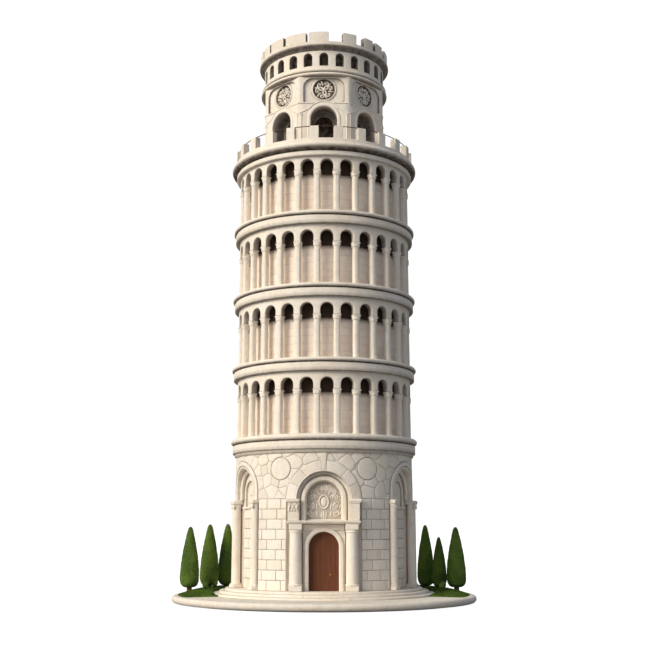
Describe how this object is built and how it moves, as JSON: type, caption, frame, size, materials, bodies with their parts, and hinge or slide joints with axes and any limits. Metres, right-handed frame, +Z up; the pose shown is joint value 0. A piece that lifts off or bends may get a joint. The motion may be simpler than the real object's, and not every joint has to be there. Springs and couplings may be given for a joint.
{
  "type": "miniature tower model",
  "caption": "Upright cream stone-effect miniature of a round arcaded bell tower on a round lawned base with cypresses; a small plank door swings inward.",
  "frame": {"origin": "centre of the underside of the pad, on the surface the model stands on", "axes": "+Z up along the tower's axis; the door faces -Y; +X is to the right of the door seen from in front"},
  "size_m": [0.1036, 0.1036, 0.1984],
  "materials": {
    "cream_stone": "satin",
    "wall_stone": "matte",
    "door_wood": "satin",
    "brass": "satin",
    "steel": "satin",
    "rail_metal": "satin",
    "lawn_flock": "matte",
    "foliage": "matte",
    "trunk_wood": "matte",
    "pad_rubber": "matte"
  },
  "bodies": {
    "tower": {"base_pad": "pad_rubber", "base_disc": "cream_stone", "lawn": "lawn_flock", "steps": "cream_stone", "step_plinth": "cream_stone", "ground_drum": "cream_stone", "arch_drum": "cream_stone", "door_pins": "brass", "door_surround": "cream_stone", "portal_columns": "cream_stone", "portal_lintel": "cream_stone", "portal_imposts": "cream_stone", "portal_archivolt": "cream_stone", "portal_lunette": "cream_stone", "blind_arch_right": "cream_stone", "blind_arch_back_right": "cream_stone", "blind_arch_back": "cream_stone", "blind_arch_back_left": "cream_stone", "blind_arch_left": "cream_stone", "blind_columns": "cream_stone", "roundels": "cream_stone", "cornice_1": "cream_stone", "gallery_wall_1": "wall_stone", "gallery_columns_1": "cream_stone", "gallery_arcade_1": "cream_stone", "cornice_2": "cream_stone", "gallery_wall_2": "wall_stone", "gallery_columns_2": "cream_stone", "gallery_arcade_2": "cream_stone", "cornice_3": "cream_stone", "gallery_wall_3": "wall_stone", "gallery_columns_3": "cream_stone", "gallery_arcade_3": "cream_stone", "cornice_4": "cream_stone", "gallery_wall_4": "wall_stone", "gallery_columns_4": "cream_stone", "gallery_arcade_4": "cream_stone", "terrace_cornice": "cream_stone", "terrace_parapet": "cream_stone", "terrace_rail": "rail_metal", "belfry_drum": "cream_stone", "belfry_archivolts": "cream_stone", "belfry_medallions": "cream_stone", "belfry_cornice": "cream_stone", "window_band": "cream_stone", "crown_cornice": "cream_stone", "crown_parapet": "cream_stone", "roof_slab": "wall_stone", "tie_rod": "steel", "tie_fastenings": "steel", "cypress_trunks": "trunk_wood", "cypress_left_front": "foliage", "cypress_left_middle": "foliage", "cypress_left_back": "foliage", "cypress_right_back": "foliage", "cypress_right_middle": "foliage", "cypress_right_front": "foliage", "bushes": "foliage"},
    "door": {"door_leaf": "door_wood", "door_knob": "brass"}
  },
  "joints": [
    {"name": "door_hinge", "type": "hinge", "parent": "tower", "child": "door", "pos_m": [-0.0052, -0.0265, 0.0051], "axis": [0, 0, 1], "range_deg": [0, 95]}
  ]
}
